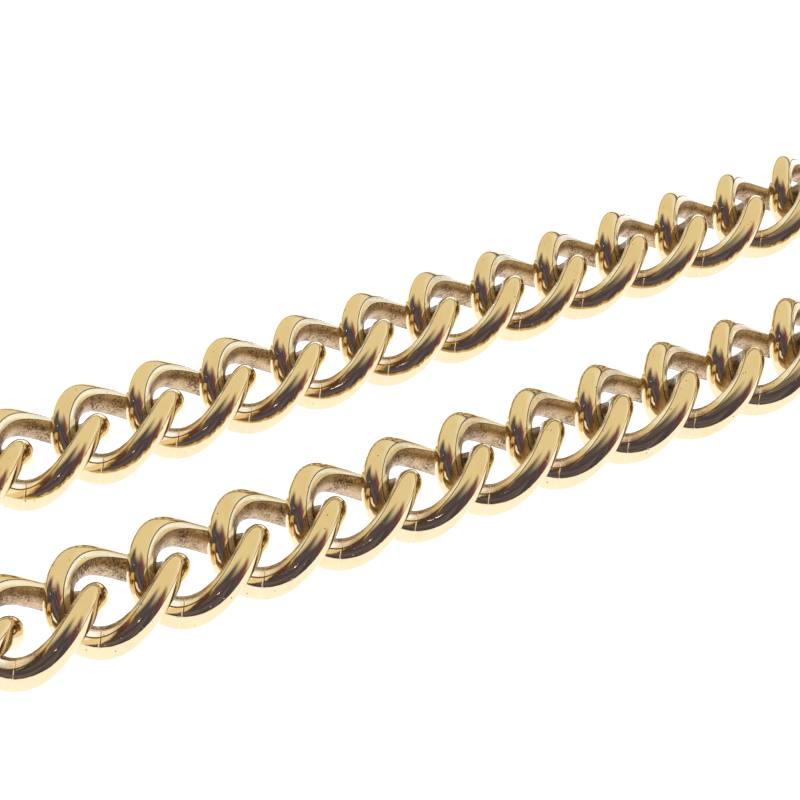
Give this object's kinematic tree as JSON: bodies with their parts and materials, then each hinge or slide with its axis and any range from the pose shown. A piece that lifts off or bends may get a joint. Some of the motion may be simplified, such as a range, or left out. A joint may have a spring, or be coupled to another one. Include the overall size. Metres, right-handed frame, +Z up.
{
  "type": "pocket watch chain",
  "caption": "Gold double Albert watch chain: twisted curb links in two arms that meet at a ring with a T-bar, and a sprung swivel clasp at each end.",
  "frame": {"origin": "centre of the footprint of the chain laid out flat, on the surface that it lies on", "axes": "+X along the arms from the T-bar towards the swivel clasps, +Y from the nearer arm towards the farther, +Z up"},
  "size_m": [0.1856, 0.0342, 0.0054],
  "materials": {
    "gold": "polished gold, brightly burnished outside and duller inside the links",
    "steel": "drawn spring wire"
  },
  "bodies": {
    "centre_ring": {"centre_ring": "gold"},
    "t_bar_jump_ring": {"t_bar_jump_ring": "gold"},
    "t_bar": {"t_bar": "gold"},
    "far_arm_jump_ring": {"far_arm_jump_ring": "gold"},
    "far_arm_link_01": {"far_arm_link_01": "gold"},
    "far_arm_link_02": {"far_arm_link_02": "gold"},
    "far_arm_link_03": {"far_arm_link_03": "gold"},
    "far_arm_link_04": {"far_arm_link_04": "gold"},
    "far_arm_link_05": {"far_arm_link_05": "gold"},
    "far_arm_link_06": {"far_arm_link_06": "gold"},
    "far_arm_link_07": {"far_arm_link_07": "gold"},
    "far_arm_link_08": {"far_arm_link_08": "gold"},
    "far_arm_link_09": {"far_arm_link_09": "gold"},
    "far_arm_link_10": {"far_arm_link_10": "gold"},
    "far_arm_link_11": {"far_arm_link_11": "gold"},
    "far_arm_link_12": {"far_arm_link_12": "gold"},
    "far_arm_link_13": {"far_arm_link_13": "gold"},
    "far_arm_link_14": {"far_arm_link_14": "gold"},
    "far_arm_link_15": {"far_arm_link_15": "gold"},
    "far_arm_link_16": {"far_arm_link_16": "gold"},
    "far_arm_link_17": {"far_arm_link_17": "gold"},
    "far_arm_link_18": {"far_arm_link_18": "gold"},
    "far_arm_link_19": {"far_arm_link_19": "gold"},
    "far_arm_link_20": {"far_arm_link_20": "gold"},
    "far_arm_link_21": {"far_arm_link_21": "gold"},
    "far_arm_link_22": {"far_arm_link_22": "gold"},
    "far_swivel_eye": {"far_swivel_eye": "gold"},
    "far_swivel_hook": {"far_swivel_body": "gold", "far_swivel_pin": "gold", "far_swivel_spring": "steel"},
    "far_swivel_gate": {"far_swivel_gate": "gold"},
    "near_arm_jump_ring": {"near_arm_jump_ring": "gold"},
    "near_arm_link_01": {"near_arm_link_01": "gold"},
    "near_arm_link_02": {"near_arm_link_02": "gold"},
    "near_arm_link_03": {"near_arm_link_03": "gold"},
    "near_arm_link_04": {"near_arm_link_04": "gold"},
    "near_arm_link_05": {"near_arm_link_05": "gold"},
    "near_arm_link_06": {"near_arm_link_06": "gold"},
    "near_arm_link_07": {"near_arm_link_07": "gold"},
    "near_arm_link_08": {"near_arm_link_08": "gold"},
    "near_arm_link_09": {"near_arm_link_09": "gold"},
    "near_arm_link_10": {"near_arm_link_10": "gold"},
    "near_arm_link_11": {"near_arm_link_11": "gold"},
    "near_arm_link_12": {"near_arm_link_12": "gold"},
    "near_arm_link_13": {"near_arm_link_13": "gold"},
    "near_arm_link_14": {"near_arm_link_14": "gold"},
    "near_arm_link_15": {"near_arm_link_15": "gold"},
    "near_arm_link_16": {"near_arm_link_16": "gold"},
    "near_arm_link_17": {"near_arm_link_17": "gold"},
    "near_arm_link_18": {"near_arm_link_18": "gold"},
    "near_arm_link_19": {"near_arm_link_19": "gold"},
    "near_arm_link_20": {"near_arm_link_20": "gold"},
    "near_arm_link_21": {"near_arm_link_21": "gold"},
    "near_arm_link_22": {"near_arm_link_22": "gold"},
    "near_swivel_eye": {"near_swivel_eye": "gold"},
    "near_swivel_hook": {"near_swivel_body": "gold", "near_swivel_pin": "gold", "near_swivel_spring": "steel"},
    "near_swivel_gate": {"near_swivel_gate": "gold"}
  },
  "joints": [
    {"name": "t_bar_jump_ring_swing", "type": "hinge", "parent": "centre_ring", "child": "t_bar_jump_ring", "pos_m": [-0.07926, 0, 0.0027], "axis": [0, 1, 0], "range_deg": [-35, 35]},
    {"name": "t_bar_swing", "type": "hinge", "parent": "t_bar_jump_ring", "child": "t_bar", "pos_m": [-0.08411, 0, 0.0027], "axis": [0, 0.788, -0.6157], "range_deg": [-16, 16]},
    {"name": "far_jump_ring_swing", "type": "hinge", "parent": "centre_ring", "child": "far_arm_jump_ring", "pos_m": [-0.06677, 0.00254, 0.0027], "axis": [-0.3907, 0.9205, 0], "range_deg": [-30, 30]},
    {"name": "far_link_01_swing", "type": "hinge", "parent": "far_arm_jump_ring", "child": "far_arm_link_01", "pos_m": [-0.06387, 0.00377, 0.0027], "axis": [-0.2406, 0.5667, 0.788], "range_deg": [-40, 40]},
    {"name": "far_link_02_swing", "type": "hinge", "parent": "far_arm_link_01", "child": "far_arm_link_02", "pos_m": [-0.05842, 0.00638, 0.0027], "axis": [-0.0974, 0.6079, 0.788], "range_deg": [-4, 25]},
    {"name": "far_link_03_swing", "type": "hinge", "parent": "far_arm_link_02", "child": "far_arm_link_03", "pos_m": [-0.0503, 0.00768, 0.0027], "axis": [-0.0974, 0.6079, -0.788], "range_deg": [-25, 18]},
    {"name": "far_link_04_swing", "type": "hinge", "parent": "far_arm_link_03", "child": "far_arm_link_04", "pos_m": [-0.04651, 0.00752, 0.0027], "axis": [0.0031, -0.6157, -0.788], "range_deg": [-25, 25]},
    {"name": "far_link_05_swing", "type": "hinge", "parent": "far_arm_link_04", "child": "far_arm_link_05", "pos_m": [-0.03829, 0.00757, 0.0027], "axis": [0.0031, -0.6157, 0.788], "range_deg": [-25, 25]},
    {"name": "far_link_06_swing", "type": "hinge", "parent": "far_arm_link_05", "child": "far_arm_link_06", "pos_m": [-0.03451, 0.00759, 0.0027], "axis": [0.0031, -0.6157, -0.788], "range_deg": [-25, 25]},
    {"name": "far_link_07_swing", "type": "hinge", "parent": "far_arm_link_06", "child": "far_arm_link_07", "pos_m": [-0.02629, 0.00763, 0.0027], "axis": [0.0031, -0.6157, 0.788], "range_deg": [-25, 25]},
    {"name": "far_link_08_swing", "type": "hinge", "parent": "far_arm_link_07", "child": "far_arm_link_08", "pos_m": [-0.02251, 0.00765, 0.0027], "axis": [-0.0031, 0.6157, 0.788], "range_deg": [-25, 25]},
    {"name": "far_link_09_swing", "type": "hinge", "parent": "far_arm_link_08", "child": "far_arm_link_09", "pos_m": [-0.01429, 0.00769, 0.0027], "axis": [-0.0031, 0.6157, -0.788], "range_deg": [-25, 25]},
    {"name": "far_link_10_swing", "type": "hinge", "parent": "far_arm_link_09", "child": "far_arm_link_10", "pos_m": [-0.01051, 0.00771, 0.0027], "axis": [-0.0031, 0.6157, 0.788], "range_deg": [-25, 25]},
    {"name": "far_link_11_swing", "type": "hinge", "parent": "far_arm_link_10", "child": "far_arm_link_11", "pos_m": [-0.00229, 0.00775, 0.0027], "axis": [-0.0031, 0.6157, -0.788], "range_deg": [-25, 25]},
    {"name": "far_link_12_swing", "type": "hinge", "parent": "far_arm_link_11", "child": "far_arm_link_12", "pos_m": [0.00149, 0.00777, 0.0027], "axis": [0.0031, -0.6157, -0.788], "range_deg": [-25, 25]},
    {"name": "far_link_13_swing", "type": "hinge", "parent": "far_arm_link_12", "child": "far_arm_link_13", "pos_m": [0.00971, 0.00781, 0.0027], "axis": [0.0031, -0.6157, 0.788], "range_deg": [-25, 25]},
    {"name": "far_link_14_swing", "type": "hinge", "parent": "far_arm_link_13", "child": "far_arm_link_14", "pos_m": [0.01349, 0.00783, 0.0027], "axis": [0.0031, -0.6157, -0.788], "range_deg": [-25, 25]},
    {"name": "far_link_15_swing", "type": "hinge", "parent": "far_arm_link_14", "child": "far_arm_link_15", "pos_m": [0.02171, 0.00787, 0.0027], "axis": [0.0031, -0.6157, 0.788], "range_deg": [-25, 25]},
    {"name": "far_link_16_swing", "type": "hinge", "parent": "far_arm_link_15", "child": "far_arm_link_16", "pos_m": [0.02549, 0.00789, 0.0027], "axis": [-0.0031, 0.6157, 0.788], "range_deg": [-25, 25]},
    {"name": "far_link_17_swing", "type": "hinge", "parent": "far_arm_link_16", "child": "far_arm_link_17", "pos_m": [0.03371, 0.00793, 0.0027], "axis": [-0.0031, 0.6157, -0.788], "range_deg": [-25, 25]},
    {"name": "far_link_18_swing", "type": "hinge", "parent": "far_arm_link_17", "child": "far_arm_link_18", "pos_m": [0.03749, 0.00795, 0.0027], "axis": [-0.0031, 0.6157, 0.788], "range_deg": [-25, 25]},
    {"name": "far_link_19_swing", "type": "hinge", "parent": "far_arm_link_18", "child": "far_arm_link_19", "pos_m": [0.04571, 0.00799, 0.0027], "axis": [-0.0031, 0.6157, -0.788], "range_deg": [-25, 25]},
    {"name": "far_link_20_swing", "type": "hinge", "parent": "far_arm_link_19", "child": "far_arm_link_20", "pos_m": [0.04949, 0.00801, 0.0027], "axis": [0.0031, -0.6157, -0.788], "range_deg": [-25, 25]},
    {"name": "far_link_21_swing", "type": "hinge", "parent": "far_arm_link_20", "child": "far_arm_link_21", "pos_m": [0.05771, 0.00805, 0.0027], "axis": [0.0031, -0.6157, 0.788], "range_deg": [-25, 25]},
    {"name": "far_link_22_swing", "type": "hinge", "parent": "far_arm_link_21", "child": "far_arm_link_22", "pos_m": [0.06149, 0.00807, 0.0027], "axis": [0.0031, -0.6157, -0.788], "range_deg": [-25, 25]},
    {"name": "far_swivel_swing", "type": "hinge", "parent": "far_arm_link_22", "child": "far_swivel_eye", "pos_m": [0.06971, 0.00811, 0.0027], "axis": [-0.0031, 0.6157, -0.788], "range_deg": [-40, 40]},
    {"name": "far_swivel_spin", "type": "hinge", "parent": "far_swivel_eye", "child": "far_swivel_hook", "pos_m": [0.07027, 0.00812, 0.0027], "axis": [1, 0.0051, 0], "continuous": true},
    {"name": "far_gate_open", "type": "hinge", "parent": "far_swivel_hook", "child": "far_swivel_gate", "pos_m": [0.0809, 0.01127, 0.0027], "axis": [0, 0, 1], "range_deg": [-26, 0], "stiffness_Nm_per_rad": 0.002, "springref_deg": 20.05},
    {"name": "near_jump_ring_swing", "type": "hinge", "parent": "centre_ring", "child": "near_arm_jump_ring", "pos_m": [-0.06691, -0.00284, 0.0027], "axis": [0.4368, 0.8996, 0], "range_deg": [-30, 30]},
    {"name": "near_link_01_swing", "type": "hinge", "parent": "near_arm_jump_ring", "child": "near_arm_link_01", "pos_m": [-0.06407, -0.00422, 0.0027], "axis": [0.2689, 0.5538, 0.788], "range_deg": [-40, 40]},
    {"name": "near_link_02_swing", "type": "hinge", "parent": "near_arm_link_01", "child": "near_arm_link_02", "pos_m": [-0.05876, -0.00709, 0.0027], "axis": [0.127, 0.6024, 0.788], "range_deg": [-25, 4]},
    {"name": "near_link_03_swing", "type": "hinge", "parent": "near_arm_link_02", "child": "near_arm_link_03", "pos_m": [-0.05072, -0.00879, 0.0027], "axis": [0.127, 0.6024, -0.788], "range_deg": [-10, 25]},
    {"name": "near_link_04_swing", "type": "hinge", "parent": "near_arm_link_03", "child": "near_arm_link_04", "pos_m": [-0.04691, -0.00859, 0.0027], "axis": [-0.0031, -0.6157, -0.788], "range_deg": [-25, 25]},
    {"name": "near_link_05_swing", "type": "hinge", "parent": "near_arm_link_04", "child": "near_arm_link_05", "pos_m": [-0.03869, -0.00863, 0.0027], "axis": [-0.0031, -0.6157, 0.788], "range_deg": [-25, 25]},
    {"name": "near_link_06_swing", "type": "hinge", "parent": "near_arm_link_05", "child": "near_arm_link_06", "pos_m": [-0.03491, -0.00865, 0.0027], "axis": [-0.0031, -0.6157, -0.788], "range_deg": [-25, 25]},
    {"name": "near_link_07_swing", "type": "hinge", "parent": "near_arm_link_06", "child": "near_arm_link_07", "pos_m": [-0.02669, -0.00869, 0.0027], "axis": [-0.0031, -0.6157, 0.788], "range_deg": [-25, 25]},
    {"name": "near_link_08_swing", "type": "hinge", "parent": "near_arm_link_07", "child": "near_arm_link_08", "pos_m": [-0.02291, -0.00871, 0.0027], "axis": [0.0031, 0.6157, 0.788], "range_deg": [-25, 25]},
    {"name": "near_link_09_swing", "type": "hinge", "parent": "near_arm_link_08", "child": "near_arm_link_09", "pos_m": [-0.01469, -0.00875, 0.0027], "axis": [0.0031, 0.6157, -0.788], "range_deg": [-25, 25]},
    {"name": "near_link_10_swing", "type": "hinge", "parent": "near_arm_link_09", "child": "near_arm_link_10", "pos_m": [-0.01091, -0.00877, 0.0027], "axis": [0.0031, 0.6157, 0.788], "range_deg": [-25, 25]},
    {"name": "near_link_11_swing", "type": "hinge", "parent": "near_arm_link_10", "child": "near_arm_link_11", "pos_m": [-0.00269, -0.00881, 0.0027], "axis": [0.0031, 0.6157, -0.788], "range_deg": [-25, 25]},
    {"name": "near_link_12_swing", "type": "hinge", "parent": "near_arm_link_11", "child": "near_arm_link_12", "pos_m": [0.00109, -0.00883, 0.0027], "axis": [-0.0031, -0.6157, -0.788], "range_deg": [-25, 25]},
    {"name": "near_link_13_swing", "type": "hinge", "parent": "near_arm_link_12", "child": "near_arm_link_13", "pos_m": [0.00931, -0.00887, 0.0027], "axis": [-0.0031, -0.6157, 0.788], "range_deg": [-25, 25]},
    {"name": "near_link_14_swing", "type": "hinge", "parent": "near_arm_link_13", "child": "near_arm_link_14", "pos_m": [0.01309, -0.00889, 0.0027], "axis": [-0.0031, -0.6157, -0.788], "range_deg": [-25, 25]},
    {"name": "near_link_15_swing", "type": "hinge", "parent": "near_arm_link_14", "child": "near_arm_link_15", "pos_m": [0.02131, -0.00893, 0.0027], "axis": [-0.0031, -0.6157, 0.788], "range_deg": [-25, 25]},
    {"name": "near_link_16_swing", "type": "hinge", "parent": "near_arm_link_15", "child": "near_arm_link_16", "pos_m": [0.02509, -0.00895, 0.0027], "axis": [0.0031, 0.6157, 0.788], "range_deg": [-25, 25]},
    {"name": "near_link_17_swing", "type": "hinge", "parent": "near_arm_link_16", "child": "near_arm_link_17", "pos_m": [0.03331, -0.00899, 0.0027], "axis": [0.0031, 0.6157, -0.788], "range_deg": [-25, 25]},
    {"name": "near_link_18_swing", "type": "hinge", "parent": "near_arm_link_17", "child": "near_arm_link_18", "pos_m": [0.03709, -0.00901, 0.0027], "axis": [0.0031, 0.6157, 0.788], "range_deg": [-25, 25]},
    {"name": "near_link_19_swing", "type": "hinge", "parent": "near_arm_link_18", "child": "near_arm_link_19", "pos_m": [0.04531, -0.00905, 0.0027], "axis": [0.0031, 0.6157, -0.788], "range_deg": [-25, 25]},
    {"name": "near_link_20_swing", "type": "hinge", "parent": "near_arm_link_19", "child": "near_arm_link_20", "pos_m": [0.04909, -0.00907, 0.0027], "axis": [-0.0031, -0.6157, -0.788], "range_deg": [-25, 25]},
    {"name": "near_link_21_swing", "type": "hinge", "parent": "near_arm_link_20", "child": "near_arm_link_21", "pos_m": [0.05731, -0.00911, 0.0027], "axis": [-0.0031, -0.6157, 0.788], "range_deg": [-25, 25]},
    {"name": "near_link_22_swing", "type": "hinge", "parent": "near_arm_link_21", "child": "near_arm_link_22", "pos_m": [0.06109, -0.00913, 0.0027], "axis": [-0.0031, -0.6157, -0.788], "range_deg": [-25, 25]},
    {"name": "near_swivel_swing", "type": "hinge", "parent": "near_arm_link_22", "child": "near_swivel_eye", "pos_m": [0.06931, -0.00917, 0.0027], "axis": [0.0031, 0.6157, -0.788], "range_deg": [-40, 40]},
    {"name": "near_swivel_spin", "type": "hinge", "parent": "near_swivel_eye", "child": "near_swivel_hook", "pos_m": [0.06986, -0.00918, 0.0027], "axis": [1, -0.0051, 0], "continuous": true},
    {"name": "near_gate_open", "type": "hinge", "parent": "near_swivel_hook", "child": "near_swivel_gate", "pos_m": [0.08053, -0.00613, 0.0027], "axis": [0, 0, 1], "range_deg": [-26, 0], "stiffness_Nm_per_rad": 0.002, "springref_deg": 20.05}
  ]
}
